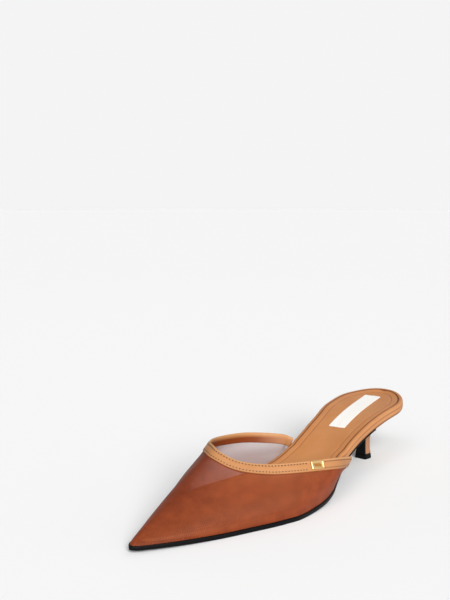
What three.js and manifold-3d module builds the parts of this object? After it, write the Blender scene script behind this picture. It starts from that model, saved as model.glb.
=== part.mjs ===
// A left mule shoe: a pointed mesh vamp with a leather topline strap on a low kitten heel.
// Millimetres, +X to the toe, +Y to the outer side of the foot, +Z up, standing on Z = 0.
import * as THREE from "three";
import { mergeVertices } from "three/addons/utils/BufferGeometryUtils.js";
import Module from "manifold-3d";

const wasm = await Module();
wasm.setup();

// Driving dimensions of the last
const shoeLength = 262;
const ballWidth = 80;
const seatWidth = 50;
const seatRise = 36.3;
const toeSpring = 1.7;
const throatHeight = 40;
const vampBelly = 4;

// Layers of the sole and the upper
const soleThickness = 2.7;
const soleEdge = 0.3;
const boardThickness = 6.5;
const boardBevel = 0.7;
const boardToeInset = 1.6;
const sockThickness = 0.9;
const sockInset = 3;
const seatDish = 0.8;
const upperWall = 0.8;
const strapWidth = 6.8;
const strapLeaf = 0.6;
const clearance = 0.3;

// Heel, top piece and small trim
const tipDepth = 8.1;
const tipWidth = 8;
const tipFlare = 0.9;
const tipTaper = 0.4;
const tipBack = 26.7;
const topPieceHeight = 4;
const breastLine = 56;
const breastCup = 8;
const flapLeaf = 0.8;
const labelLength = 58;
const labelWidth = 12;
const labelThickness = 0.3;
const labelTurn = THREE.MathUtils.degToRad(6);
const keeperWidth = 5;
const keeperThickness = 0.9;
const keeperRim = 0.9;
const keeperRelief = 0.35;
const keeperField = 0.3;

// Outline of the feather line: along is a share of shoeLength, and lateral and medial are shares
// of the width that the row follows
const outline = [
  { along: 0, lateral: 0.48, medial: -0.5, follows: seatWidth },
  { along: 0.1, lateral: 0.49, medial: -0.5, follows: seatWidth },
  { along: 0.172, lateral: 0.485, medial: -0.48, follows: seatWidth },
  { along: 0.267, lateral: 0.484, medial: -0.38, follows: seatWidth },
  { along: 0.355, lateral: 0.498, medial: -0.336, follows: seatWidth },
  { along: 0.388, lateral: 0.335, medial: -0.24, follows: ballWidth },
  { along: 0.43, lateral: 0.375, medial: -0.262, follows: ballWidth },
  { along: 0.477, lateral: 0.43, medial: -0.31, follows: ballWidth },
  { along: 0.523, lateral: 0.458, medial: -0.372, follows: ballWidth },
  { along: 0.573, lateral: 0.466, medial: -0.43, follows: ballWidth },
  { along: 0.618, lateral: 0.468, medial: -0.465, follows: ballWidth },
  { along: 0.668, lateral: 0.434, medial: -0.482, follows: ballWidth },
  { along: 0.763, lateral: 0.329, medial: -0.41, follows: ballWidth },
  { along: 0.859, lateral: 0.213, medial: -0.281, follows: ballWidth },
  { along: 0.935, lateral: 0.098, medial: -0.183, follows: ballWidth },
  { along: 1, lateral: -0.02, medial: -0.08, follows: ballWidth },
];
const seatRound = 28;
const toeRound = 4;
const toeHalfAngle = THREE.MathUtils.degToRad(30);

// Side profile: rise is a share of seatRise, kick of toeSpring, sole of soleThickness and board
// of boardThickness
const profile = [
  { along: 0, rise: 1, kick: 0, sole: 1, board: 1 },
  { along: 0.057, rise: 0.967, kick: 0, sole: 0.45, board: 1 },
  { along: 0.115, rise: 0.923, kick: 0, sole: 0.4, board: 1 },
  { along: 0.172, rise: 0.868, kick: 0, sole: 0.4, board: 1 },
  { along: 0.229, rise: 0.785, kick: 0, sole: 0.4, board: 1 },
  { along: 0.286, rise: 0.669, kick: 0, sole: 0.4, board: 1 },
  { along: 0.344, rise: 0.51, kick: 0, sole: 0.4, board: 1 },
  { along: 0.382, rise: 0.377, kick: 0, sole: 0.45, board: 1 },
  { along: 0.42, rise: 0.246, kick: 0, sole: 0.6, board: 0.95 },
  { along: 0.458, rise: 0.143, kick: 0, sole: 0.8, board: 0.85 },
  { along: 0.515, rise: 0.055, kick: 0, sole: 0.95, board: 0.7 },
  { along: 0.565, rise: 0.014, kick: 0, sole: 1, board: 0.62 },
  { along: 0.61, rise: 0, kick: 0, sole: 1, board: 0.58 },
  { along: 0.78, rise: 0, kick: 0, sole: 1, board: 0.52 },
  { along: 0.86, rise: 0, kick: 0.25, sole: 1, board: 0.46 },
  { along: 0.93, rise: 0, kick: 0.6, sole: 0.95, board: 0.38 },
  { along: 1, rise: 0, kick: 1, sole: 0.9, board: 0.25 },
];

// Topline from its outer end round the throat to its inner end. along and land are shares of
// shoeLength, where land is the place that the vamp meets the feather line; side is a share of
// ballWidth, height of throatHeight and belly of vampBelly; roll is the strap's lean in degrees
// from upright, and lift the share of its height over which the vamp rises steeply
const topline = [
  { along: 0.357, side: 0.352, height: 0.481, roll: -31, land: 0.385, belly: 0.25, lift: 0.6 },
  { along: 0.402, side: 0.442, height: 0.603, roll: -20, land: 0.431, belly: 0.55, lift: 0.6 },
  { along: 0.49, side: 0.475, height: 0.74, roll: 17, land: 0.528, belly: 0.84, lift: 0.6 },
  { along: 0.586, side: 0.36, height: 0.782, roll: 36, land: 0.63, belly: 0.82, lift: 0.6 },
  { along: 0.648, side: 0.226, height: 0.795, roll: 42, land: 0.71, belly: 0.6, lift: 0.55 },
  { along: 0.693, side: 0.074, height: 0.851, roll: 50, land: 0.847, belly: 0.2, lift: 0.5 },
  { along: 0.707, side: -0.071, height: 0.952, roll: 57, land: 1, belly: -0.36, lift: 0.18 },
  { along: 0.696, side: -0.18, height: 1, roll: 49, land: 0.845, belly: -0.08, lift: 0.3 },
  { along: 0.656, side: -0.331, height: 0.957, roll: 34, land: 0.732, belly: 0.34, lift: 0.5 },
  { along: 0.563, side: -0.495, height: 0.839, roll: 19, land: 0.611, belly: 0.81, lift: 0.6 },
  { along: 0.462, side: -0.479, height: 0.768, roll: 1, land: 0.504, belly: 0.7, lift: 0.6 },
  { along: 0.38, side: -0.311, height: 0.683, roll: -16, land: 0.424, belly: 0.4, lift: 0.6 },
  { along: 0.356, side: -0.238, height: 0.612, roll: -4, land: 0.385, belly: 0.25, lift: 0.6 },
];
const throatRow = 6;

// Heel sections from the top piece up: height is a share of the heel's own height, and back,
// side, front and cup say how far the section has spread from the shaft to the seat's outline
const heelRows = [
  { height: 0, back: 0.01, side: 0.03, front: 0.03, cup: 0 },
  { height: 0.11, back: -0.03, side: 0, front: 0, cup: 0 },
  { height: 0.25, back: -0.035, side: 0, front: 0, cup: 0 },
  { height: 0.4, back: 0.02, side: 0.03, front: 0.02, cup: 0 },
  { height: 0.51, back: 0.16, side: 0.11, front: 0.07, cup: 0.05 },
  { height: 0.61, back: 0.35, side: 0.25, front: 0.22, cup: 0.2 },
  { height: 0.68, back: 0.52, side: 0.43, front: 0.5, cup: 0.5 },
  { height: 0.73, back: 0.63, side: 0.57, front: 0.82, cup: 0.85 },
  { height: 0.76, back: 0.69, side: 0.65, front: 1, cup: 1 },
  { height: 0.81, back: 0.78, side: 0.78, front: 1, cup: 1 },
  { height: 0.87, back: 0.87, side: 0.9, front: 1, cup: 1 },
  { height: 1.03, back: 0.97, side: 0.98, front: 1, cup: 1 },
];
const shaftCorner = 0.86;
const shaftFlank = 0.97;

function spaced(from, to, count) {
  return Array.from({ length: count + 1 }, (_, i) => from + ((to - from) * i) / count);
}

// Monotone cubic through the rows of a table, so that level stretches stay level
function monotone(places, values) {
  const steps = places.slice(1).map((place, i) => place - places[i]);
  const slopes = steps.map((step, i) => (values[i + 1] - values[i]) / step);
  const tangents = values.map((value, i) => {
    if (i === 0) return slopes[0];
    if (i === slopes.length) return slopes[i - 1];
    if (slopes[i - 1] * slopes[i] <= 0) return 0;
    const before = 2 * steps[i] + steps[i - 1];
    const after = steps[i] + 2 * steps[i - 1];
    return (before + after) / (before / slopes[i - 1] + after / slopes[i]);
  });
  return (place) => {
    const last = steps.length - 1;
    let i = places.findIndex((_, k) => k > 0 && place <= places[k]) - 1;
    if (i < 0) i = place <= places[0] ? 0 : last;
    const t = THREE.MathUtils.clamp((place - places[i]) / steps[i], 0, 1);
    const a = values[i];
    const b = values[i + 1];
    const rise = t * t * (3 - 2 * t);
    return a + (b - a) * rise
      + steps[i] * (tangents[i] * t * (1 - t) ** 2 - tangents[i + 1] * t * t * (1 - t));
  };
}

function column(rows, name, scale = 1, place = (row) => row.along * shoeLength) {
  return monotone(rows.map(place), rows.map((row) => row[name] * scale));
}

const outlineEdge = {
  lateral: monotone(outline.map((row) => row.along * shoeLength),
    outline.map((row) => row.lateral * row.follows)),
  medial: monotone(outline.map((row) => row.along * shoeLength),
    outline.map((row) => row.medial * row.follows)),
};
const rise = column(profile, "rise", seatRise);
const kick = column(profile, "kick", toeSpring);
const soleDepth = column(profile, "sole", soleThickness);
const boardDepth = column(profile, "board", boardThickness);

const groundLift = (x) => rise(x) + kick(x);
const featherHeight = (x) => groundLift(x) + soleDepth(x);

// Ends of the outline after it is drawn in by inset, and the share of its width at x
function outlineEnds(inset) {
  return { back: inset, toe: shoeLength - inset / Math.sin(toeHalfAngle) };
}

function roundShare(distance, radius) {
  const t = THREE.MathUtils.clamp(1 - distance / radius, 0, 1);
  return Math.sqrt(1 - t * t);
}

function outlineSide(x, share, inset = 0) {
  const ends = outlineEnds(inset);
  const lateral = outlineEdge.lateral(x);
  const medial = outlineEdge.medial(x);
  const round = roundShare(x - ends.back, seatRound) * roundShare(ends.toe - x, toeRound);
  const half = Math.max((lateral - medial) / 2 - inset, 0.05) * round;
  return (lateral + medial) / 2 + share * half;
}

// A closed body from two grids of points that face away from each other
function sheetBody(outer, inner) {
  const rows = outer.length;
  const columns = outer[0].length;
  const positions = [...outer, ...inner].flat().flatMap((point) => [point.x, point.y, point.z]);
  const index = [];
  const at = (side, i, j) => side * rows * columns + i * columns + j;
  const quad = (a, b, c, d) => index.push(a, b, c, a, c, d);
  for (let i = 0; i + 1 < rows; i += 1) {
    for (let j = 0; j + 1 < columns; j += 1) {
      quad(at(0, i, j), at(0, i, j + 1), at(0, i + 1, j + 1), at(0, i + 1, j));
      quad(at(1, i, j), at(1, i + 1, j), at(1, i + 1, j + 1), at(1, i, j + 1));
    }
    quad(at(0, i, 0), at(0, i + 1, 0), at(1, i + 1, 0), at(1, i, 0));
    const last = columns - 1;
    quad(at(0, i, last), at(1, i, last), at(1, i + 1, last), at(0, i + 1, last));
  }
  for (let j = 0; j + 1 < columns; j += 1) {
    quad(at(0, 0, j), at(1, 0, j), at(1, 0, j + 1), at(0, 0, j + 1));
    const last = rows - 1;
    quad(at(0, last, j), at(0, last, j + 1), at(1, last, j + 1), at(1, last, j));
  }
  return closedSolid(positions, index);
}

// A closed body through loops of points. Each end is closed by strips between the points that
// lie across from each other, so a bowed end stays bowed
function loftBody(loops) {
  const count = loops[0].length;
  const positions = loops.flat().flatMap((point) => [point.x, point.y, point.z]);
  const index = [];
  for (let i = 0; i + 1 < loops.length; i += 1) {
    for (let j = 0; j < count; j += 1) {
      const a = i * count + j;
      const b = i * count + ((j + 1) % count);
      index.push(a, b, b + count, a, b + count, a + count);
    }
  }
  const top = (loops.length - 1) * count;
  for (let j = 0; j + 1 < count / 2; j += 1) {
    const across = count - 1 - j;
    index.push(j + 1, j, across, j + 1, across, across - 1);
    index.push(top + j, top + j + 1, top + across, top + j + 1, top + across - 1, top + across);
  }
  return closedSolid(positions, index);
}

// Points that coincide become one, flat triangles go, and the faces are turned outwards
function closedSolid(positions, index) {
  const geometry = new THREE.BufferGeometry();
  geometry.setAttribute("position", new THREE.Float32BufferAttribute(positions, 3));
  geometry.setIndex(index);
  const merged = mergeVertices(geometry, 1e-5);
  const corners = merged.index.array;
  const kept = [];
  for (let i = 0; i < corners.length; i += 3) {
    const [a, b, c] = corners.slice(i, i + 3);
    if (a !== b && b !== c && c !== a) kept.push(a, b, c);
  }
  const vertProperties = merged.attributes.position.array;
  if (signedVolume(vertProperties, kept) < 0) kept.reverse();
  const triVerts = Uint32Array.from(kept);
  return new wasm.Manifold(new wasm.Mesh({ numProp: 3, vertProperties, triVerts }));
}

function signedVolume(points, corners) {
  const vertex = (k) => new THREE.Vector3().fromArray(points, corners[k] * 3);
  let sum = 0;
  for (let i = 0; i < corners.length; i += 3) {
    sum += vertex(i).dot(vertex(i + 1).cross(vertex(i + 2)));
  }
  return sum;
}

// Stations from one end of an outline to the other, closer together at its round ends
const endCrowding = 0.55;
function stations(from, to, count) {
  return spaced(0, 1, count).map((even) => {
    const eased = (1 - Math.cos(Math.PI * even)) / 2;
    return from + (to - from) * THREE.MathUtils.lerp(even, eased, endCrowding);
  });
}

// Shares of the half width at which plates and the breast have their points
const acrossShares = [-1, -0.88, -0.48, 0, 0.48, 0.88, 1];

// Plates stop this short of the outline's ends, where their width would be nothing
const endStep = 0.04;

// A plate that follows the outline, where inset depends on x, and top and bottom give heights
// from x and a share across. Its back end may be bowed forward at the sides
function outlinePlate({ inset, count, from, top, bottom, bow = () => 0 }) {
  const point = (station, share, height) => {
    const x = station - bow(station) * (1 - share * share);
    return new THREE.Vector3(x, outlineSide(x, share, inset(x)), height(x, share));
  };
  const back = from ?? outlineEnds(inset(0)).back + endStep;
  const toe = outlineEnds(inset(shoeLength)).toe - endStep;
  return loftBody(stations(back, toe, count).map((x) => [
    ...acrossShares.map((share) => point(x, share, bottom)),
    ...[...acrossShares].reverse().map((share) => point(x, share, top)),
  ]));
}

// The board's top is level at the rim and dips a little towards the middle
const dip = (share) => seatDish * (1 - share * share);
const boardBottom = (x) => featherHeight(x) + clearance;
const boardTop = (x) => featherHeight(x) + boardDepth(x);
const rimTop = (x, share) => boardTop(x) - (Math.abs(share) === 1 ? boardBevel : 0);
const sockTop = (x, share) => boardTop(x) - dip(share);

// Where the vamp covers the board's wall, the board is set in by the upper and the strap, and
// towards the toe by a little more
const upperStart = topline[0].along * shoeLength;
const insetRun = 7.5;
const toeRun = 52;
const boardSteps = 44;
const upperInset = strapLeaf + upperWall + 3 * clearance;
const boardInset = (x) => upperInset
  * THREE.MathUtils.smoothstep(x, upperStart, upperStart + insetRun)
  + boardToeInset * THREE.MathUtils.smoothstep(x, shoeLength - toeRun, shoeLength);

function sockForm(grow) {
  return outlinePlate({
    inset: (x) => sockInset + boardInset(x) - grow,
    count: 34,
    top: (x, share) => sockTop(x, share) + (grow > 0 ? boardThickness : 0),
    bottom: (x, share) => sockTop(x, share) - sockThickness - grow,
  });
}

function footbed() {
  const board = outlinePlate({
    inset: boardInset, count: boardSteps, top: rimTop, bottom: boardBottom,
  });
  return board.subtract(sockForm(clearance));
}

const heelLevel = (row) => topPieceHeight + row.height * (featherHeight(0) - topPieceHeight);

// Each heel section lies between the shaft's and the seat's: t runs from the breast's inner
// corner round the back, and grow draws the section outwards
function heelPoint(row, t, grow) {
  const round = Math.cos(t);
  const side = Math.sin(t);
  const arc = (share) => 1 - Math.sqrt(1 - share * share);
  const shaft = new THREE.Vector2(tipBack + (tipDepth / 2) * arc(side), (tipWidth / 2) * side);
  const seatX = seatRound * arc(side);
  const seat = new THREE.Vector2(seatX, outlineSide(seatX, Math.sign(side)));
  return new THREE.Vector3(
    THREE.MathUtils.lerp(shaft.x, seat.x, row.back) - grow * round,
    THREE.MathUtils.lerp(shaft.y, seat.y, row.side) + grow * side,
    heelLevel(row),
  );
}

function heelLoop(row, grow) {
  const back = spaced(-Math.PI / 2, Math.PI / 2, 14).map((t) => heelPoint(row, t, grow));
  const breast = breastPoints(row, grow);
  const flank = (a, b, side) => {
    const share = (row.side + row.front) / 2;
    const point = a.clone().lerp(b, 0.5);
    const seatY = outlineSide(Math.min(point.x, breastLine), side);
    point.y = THREE.MathUtils.lerp(side * (tipWidth / 2) * shaftFlank, seatY, share) + grow * side;
    return point;
  };
  return [
    ...back,
    flank(back.at(-1), breast[0], 1),
    ...breast,
    flank(breast.at(-1), back[0], -1),
  ];
}

// The breast is hollow across the shoe, so its wings reach ahead of its middle
function breastPoints(row, grow) {
  const x = THREE.MathUtils.lerp(tipBack + tipDepth, breastLine, row.front) + grow;
  const height = heelLevel(row) - grow * row.front;
  return [...acrossShares].reverse().map((share) => {
    const shaftY = (tipWidth / 2) * shaftCorner * share;
    const seatY = outlineSide(breastLine, share);
    const y = THREE.MathUtils.lerp(shaftY, seatY, row.front);
    return new THREE.Vector3(x - breastCup * row.cup * (1 - share * share), y, height);
  });
}

// Cuts at a thin edge can leave slivers behind, and the piece itself is the largest body
function largestBody(solid) {
  return solid.decompose().reduce((a, b) => (b.volume() > a.volume() ? b : a));
}

const heelForm = (grow) => loftBody(heelRows.map((row) => heelLoop(row, grow)));

// Everything above the feather line from the back to past the breast
function aboveFeather() {
  const reach = shoeLength / 2;
  return loftBody(stations(-seatWidth / 2, reach, 30).map((x) => {
    const low = featherHeight(Math.max(x, 0));
    return [[-1, 0], [1, 0], [1, 1], [-1, 1]].map(([side, up]) => (
      new THREE.Vector3(x, side * ballWidth, low + up * throatHeight)));
  }));
}

// The outsole's edge stands out a little under the forefoot, and at the breast it turns down
// the front of the heel as a thin flap
const bowRun = 45;
const edgeRun = 38;
function outsole(seatCut) {
  const slab = outlinePlate({
    inset: (x) => -soleEdge * THREE.MathUtils.smoothstep(x, upperStart, upperStart + edgeRun),
    count: 38,
    from: breastLine + clearance,
    top: (x) => featherHeight(x),
    bottom: (x) => groundLift(x),
    bow: (x) => breastCup * (1 - THREE.MathUtils.smoothstep(x, breastLine, breastLine + bowRun)),
  });
  const flapSide = (grow) => heelRows.map((row) => breastPoints(row, grow));
  const flap = sheetBody(flapSide(clearance + flapLeaf), flapSide(0));
  return largestBody(slab.add(flap.subtract(seatCut)).subtract(heelForm(clearance)));
}

function topPiece() {
  const level = (height, grow) => {
    const row = { height: 0, back: 0, side: 0, front: 0, cup: 0 };
    return heelLoop(row, grow).map((point) => point.setZ(height));
  };
  const top = topPieceHeight - clearance;
  return loftBody([level(0, tipFlare), level(top, tipFlare - tipTaper)]);
}

// Vamp surface: place runs over the topline's rows, and down runs from 0 at the top edge through
// 1 at the strap's lower edge to 2 at the feather line
const toplineCurve = new THREE.CatmullRomCurve3(topline.map((row) => new THREE.Vector3(
  row.along * shoeLength, row.side * ballWidth, row.height * throatHeight)), false, "catmullrom");
const byRow = (name, scale = 1) => column(topline, name, scale, (row) => topline.indexOf(row));
const rollAt = byRow("roll", Math.PI / 180);
const bellyAt = byRow("belly", vampBelly);
const liftAt = byRow("lift");
const outerRows = topline.slice(0, throatRow + 1);
const innerRows = topline.slice(throatRow);
const landOuter = column(outerRows, "land", shoeLength, (row) => outerRows.indexOf(row));
const landInner = column(innerRows, "land", shoeLength, (row) => innerRows.indexOf(row));
const lastRow = topline.length - 1;

function featherPoint(place) {
  const outerSide = place <= throatRow;
  const x = outerSide ? landOuter(place) : landInner(place - throatRow);
  return new THREE.Vector3(x, outlineSide(x, outerSide ? 1 : -1), featherHeight(x));
}

function strapDirection(place) {
  const along = toplineCurve.getTangent(place / lastRow);
  const fall = new THREE.Vector3(0, 0, -1);
  fall.addScaledVector(along, -fall.dot(along)).normalize();
  const outward = new THREE.Vector3().crossVectors(along, fall);
  const roll = rollAt(place);
  return fall.multiplyScalar(Math.cos(roll)).addScaledVector(outward, Math.sin(roll));
}

function outwardAtFeather(place) {
  if (Math.abs(place - throatRow) < 1e-6) return new THREE.Vector3(1, 0, 0);
  const step = 0.02;
  const before = featherPoint(Math.max(place - step, 0));
  const after = featherPoint(Math.min(place + step, lastRow));
  const along = after.sub(before).setZ(0).normalize();
  return new THREE.Vector3(-along.y, along.x, 0);
}

const vampHandle = 0.35;

function vampPoint(place, down) {
  const edge = toplineCurve.getPoint(place / lastRow);
  const fall = strapDirection(place);
  if (down <= 1) return edge.addScaledVector(fall, strapWidth * down);
  const start = edge.addScaledVector(fall, strapWidth);
  const end = featherPoint(place);
  const handle = start.distanceTo(end) * vampHandle;
  const startHandle = start.clone().addScaledVector(fall, handle);
  const endHandle = end.clone().addScaledVector(outwardAtFeather(place), bellyAt(place));
  endHandle.z += Math.max(start.z - end.z, 0) * liftAt(place);
  return new THREE.CubicBezierCurve3(start, startHandle, endHandle, end).getPoint(down - 1);
}

function vampNormal(place, down) {
  const step = 0.01;
  const a = vampPoint(Math.max(place - step, 0), down);
  const b = vampPoint(Math.min(place + step, lastRow), down);
  const c = vampPoint(place, Math.max(down - step, 0));
  const d = vampPoint(place, Math.min(down + step, 2));
  return b.sub(a).cross(d.sub(c)).normalize();
}

const vampSkin = (place, down, offset) => (
  vampPoint(place, down).addScaledVector(vampNormal(place, down), offset));

// The mesh stops a little short of the strap's two ends, inside the fold
const meshEnd = 0.2;
const rowLength = toplineCurve.getLength() / lastRow;
function vampPlaces(end) {
  return spaced(end, lastRow - end, 60);
}

// Under the strap the mesh lies behind the outer leaf, and it comes out to the outline below
const strapBack = -(strapLeaf + clearance);
const comesOut = 1.5;
const meshFace = (down) => strapBack * (1 - THREE.MathUtils.smoothstep(down, comesOut, 2) / 2);

function vampSheet(places, downs, outer, inner) {
  const grid = (offset) => places.map((place) => (
    downs.map((down) => vampSkin(place, down, offset(down)))));
  return sheetBody(grid(outer), grid(inner));
}

function meshForm(grow) {
  const start = (strapLeaf + clearance - grow) / strapWidth;
  const downs = [start, 0.5, 1, ...spaced(1, 2, 8).slice(1)];
  return vampSheet(vampPlaces(meshEnd - grow / rowLength), downs,
    (down) => meshFace(down) + grow, (down) => meshFace(down) - upperWall - grow);
}

// The strap is one leather band folded over the mesh edge, cut from the vamp's own form
function strapForm() {
  const thickness = 2 * strapLeaf + 2 * clearance + upperWall;
  return vampSheet(vampPlaces(0), [0, 0.33, 0.67, 1], () => 0, () => -thickness);
}

// What the sole and the board take up, with clearance, under and inside the upper
function soleSpace() {
  const board = outlinePlate({
    inset: (x) => boardInset(x) - clearance,
    count: boardSteps,
    top: (x) => boardTop(x) + clearance,
    bottom: (x) => groundLift(x) - throatHeight,
  });
  const under = outlinePlate({
    inset: () => -ballWidth / 4,
    count: boardSteps,
    top: (x) => featherHeight(x) + clearance,
    bottom: (x) => groundLift(x) - throatHeight,
  });
  return board.add(under);
}

// A small plate on the strap's outer face, with a raised rim round a level field
const keeperPlace = 2.56;
const keeperDown = 0.48;
const keeperReach = 0.155;
function keeper() {
  const rimShare = keeperRim / keeperWidth;
  const half = keeperWidth / strapWidth / 2;
  const shares = [-1, -1 + rimShare, -1 + 2 * rimShare, -keeperField, keeperField,
    1 - 2 * rimShare, 1 - rimShare, 1];
  const relief = (i, j) => {
    const edge = Math.min(i, j, shares.length - 1 - i, shares.length - 1 - j);
    return edge === 0 ? -keeperRelief : edge === 1 ? 0 : -keeperRelief;
  };
  const face = (offset) => shares.map((along, i) => shares.map((down, j) => vampSkin(
    keeperPlace + along * keeperReach, keeperDown + down * half, offset(i, j))));
  return sheetBody(face((i, j) => clearance + keeperThickness + relief(i, j)),
    face(() => clearance));
}

// The label lies on the sock over the heel and is bare
const labelMiddle = new THREE.Vector2(44.5, 0.3);
function label() {
  const steps = spaced(-0.5, 0.5, 12);
  const face = (raise) => steps.map((along) => [-0.5, 0, 0.5].map((across) => {
    const spot = new THREE.Vector2(along * labelLength, across * labelWidth);
    spot.rotateAround(new THREE.Vector2(), labelTurn).add(labelMiddle);
    const middle = outlineSide(spot.x, 0, sockInset);
    const share = (spot.y - middle) / (outlineSide(spot.x, 1, sockInset) - middle);
    return new THREE.Vector3(spot.x, spot.y, sockTop(spot.x, share) + raise);
  }));
  return sheetBody(face(clearance + labelThickness), face(clearance));
}

function finish(color, roughness, metalness = 0) {
  return new THREE.MeshStandardMaterial({ color, roughness, metalness, flatShading: true });
}

const tanLeather = finish(0xcb8a5b, 0.55);
const strapLeather = finish(0xda9f6a, 0.5);
const rustMesh = finish(0x9e5435, 0.85);
const blackSole = finish(0x141414, 0.35);
const gold = finish(0xd8b46a, 0.25, 1);
const whiteLabel = finish(0xf4f0ea, 0.7);

const shoe = new THREE.Group();

function place(name, solid, material) {
  const { vertProperties, triVerts, numProp } = solid.getMesh();
  const geometry = new THREE.BufferGeometry();
  const points = new THREE.BufferAttribute(vertProperties, numProp);
  geometry.setAttribute("position", points);
  geometry.setIndex(new THREE.BufferAttribute(triVerts, 1));
  geometry.computeVertexNormals();
  const mesh = new THREE.Mesh(geometry, material);
  mesh.name = name;
  shoe.add(mesh);
}

const seatCut = aboveFeather();
const space = soleSpace();
place("outsole", outsole(seatCut), blackSole);
place("footbed", footbed(), tanLeather);
place("sock", sockForm(0), tanLeather);
place("upper", largestBody(meshForm(0).subtract(space)), rustMesh);
const strap = strapForm().subtract(meshForm(clearance)).subtract(space);
place("topline_strap", largestBody(strap), strapLeather);
place("keeper", keeper(), gold);
place("heel", heelForm(0).subtract(seatCut), tanLeather);
place("top_piece", topPiece(), blackSole);
place("label", label(), whiteLabel);

// The origin is on the floor under the middle of the shoe's own box
const box = new THREE.Box3().setFromObject(shoe, true);
const middle = box.getCenter(new THREE.Vector3());
shoe.position.set(-middle.x, -middle.y, -box.min.z);

export default shoe;
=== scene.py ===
"""A left mule shoe: sheer rust mesh vamp, tan leather topline strap and sock, low kitten heel.

Lengths are in millimetres in the last's own frame, with x from the back of the heel to the toe,
y to the outer side of the foot and z up from the floor. put() turns them into the row's metres.
"""

import math

import bmesh
import bpy
import numpy as np
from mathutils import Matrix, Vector


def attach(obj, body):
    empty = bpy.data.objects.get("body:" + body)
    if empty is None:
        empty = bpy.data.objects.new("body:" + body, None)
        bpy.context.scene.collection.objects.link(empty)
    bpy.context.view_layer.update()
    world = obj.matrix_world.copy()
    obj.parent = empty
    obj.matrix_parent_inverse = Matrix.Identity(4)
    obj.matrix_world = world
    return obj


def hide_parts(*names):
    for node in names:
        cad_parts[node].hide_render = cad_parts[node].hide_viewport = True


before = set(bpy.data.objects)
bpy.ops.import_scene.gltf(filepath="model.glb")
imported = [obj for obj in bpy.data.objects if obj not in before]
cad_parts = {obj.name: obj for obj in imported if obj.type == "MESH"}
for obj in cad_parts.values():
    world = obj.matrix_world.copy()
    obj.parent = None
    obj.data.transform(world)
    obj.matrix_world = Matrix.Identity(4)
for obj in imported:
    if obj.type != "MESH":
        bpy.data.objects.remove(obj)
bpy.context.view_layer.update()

ORIGIN = np.array([131.3, -1.181, 0.0])

# Driving sizes of the last and its layers
SHOE_LENGTH, BALL_WIDTH, SEAT_WIDTH = 262, 80, 50
SEAT_RISE, TOE_SPRING, THROAT_HEIGHT, VAMP_BELLY = 36.3, 1.7, 40, 4
SOLE_THICKNESS, SOLE_EDGE, BOARD_THICKNESS, BOARD_TOE_INSET = 2.7, 0.3, 6.5, 1.6
SOCK_THICKNESS, SOCK_INSET, SEAT_DISH = 0.9, 3, 0.8
UPPER_WALL, STRAP_WIDTH, STRAP_LEAF, CLEARANCE = 0.8, 6.8, 0.6, 0.3
TIP_DEPTH, TIP_WIDTH, TIP_FLARE, TIP_TAPER, TIP_BACK, TOP_PIECE = 8.1, 8, 0.9, 0.4, 26.7, 4
BREAST_LINE, BREAST_CUP, FLAP_LEAF = 56, 8, 0.8
SEAT_ROUND, TOE_ROUND, TOE_HALF_ANGLE = 28, 4, math.radians(30)

# along, lateral, medial, width that they are shares of
OUTLINE = [
    (0, 0.48, -0.5, SEAT_WIDTH), (0.1, 0.49, -0.5, SEAT_WIDTH),
    (0.172, 0.485, -0.48, SEAT_WIDTH), (0.267, 0.484, -0.38, SEAT_WIDTH),
    (0.355, 0.498, -0.336, SEAT_WIDTH), (0.388, 0.335, -0.24, BALL_WIDTH),
    (0.43, 0.375, -0.262, BALL_WIDTH),
    (0.477, 0.43, -0.31, BALL_WIDTH), (0.523, 0.458, -0.372, BALL_WIDTH),
    (0.573, 0.466, -0.43, BALL_WIDTH), (0.618, 0.468, -0.465, BALL_WIDTH),
    (0.668, 0.434, -0.482, BALL_WIDTH), (0.763, 0.329, -0.41, BALL_WIDTH),
    (0.859, 0.213, -0.281, BALL_WIDTH), (0.935, 0.098, -0.183, BALL_WIDTH),
    (1, -0.02, -0.08, BALL_WIDTH),
]
# along, rise, kick, sole, board
PROFILE = [
    (0, 1, 0, 1, 1), (0.057, 0.967, 0, 0.45, 1), (0.115, 0.923, 0, 0.4, 1),
    (0.172, 0.868, 0, 0.4, 1), (0.229, 0.785, 0, 0.4, 1), (0.286, 0.669, 0, 0.4, 1),
    (0.344, 0.51, 0, 0.4, 1), (0.382, 0.377, 0, 0.45, 1), (0.42, 0.246, 0, 0.6, 0.95),
    (0.458, 0.143, 0, 0.8, 0.85), (0.515, 0.055, 0, 0.95, 0.7), (0.565, 0.014, 0, 1, 0.62),
    (0.61, 0, 0, 1, 0.58), (0.78, 0, 0, 1, 0.52), (0.86, 0, 0.25, 1, 0.46),
    (0.93, 0, 0.6, 0.95, 0.38), (1, 0, 1, 0.9, 0.25),
]
# along, side, height, roll, land, belly, lift
TOPLINE = [
    (0.357, 0.352, 0.481, -31, 0.385, 0.25, 0.6), (0.402, 0.442, 0.603, -20, 0.431, 0.55, 0.6),
    (0.49, 0.475, 0.74, 17, 0.528, 0.84, 0.6), (0.586, 0.36, 0.782, 36, 0.63, 0.82, 0.6),
    (0.648, 0.226, 0.795, 42, 0.71, 0.6, 0.55), (0.693, 0.074, 0.851, 50, 0.847, 0.2, 0.5),
    (0.707, -0.071, 0.952, 57, 1, -0.36, 0.18), (0.696, -0.18, 1, 49, 0.845, -0.08, 0.3),
    (0.656, -0.331, 0.957, 34, 0.732, 0.34, 0.5), (0.563, -0.495, 0.839, 19, 0.611, 0.81, 0.6),
    (0.462, -0.479, 0.768, 1, 0.504, 0.7, 0.6), (0.38, -0.311, 0.683, -16, 0.424, 0.4, 0.6),
    (0.356, -0.238, 0.612, -4, 0.385, 0.25, 0.6),
]
THROAT_ROW, LAST_ROW = 6, len(TOPLINE) - 1
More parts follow.
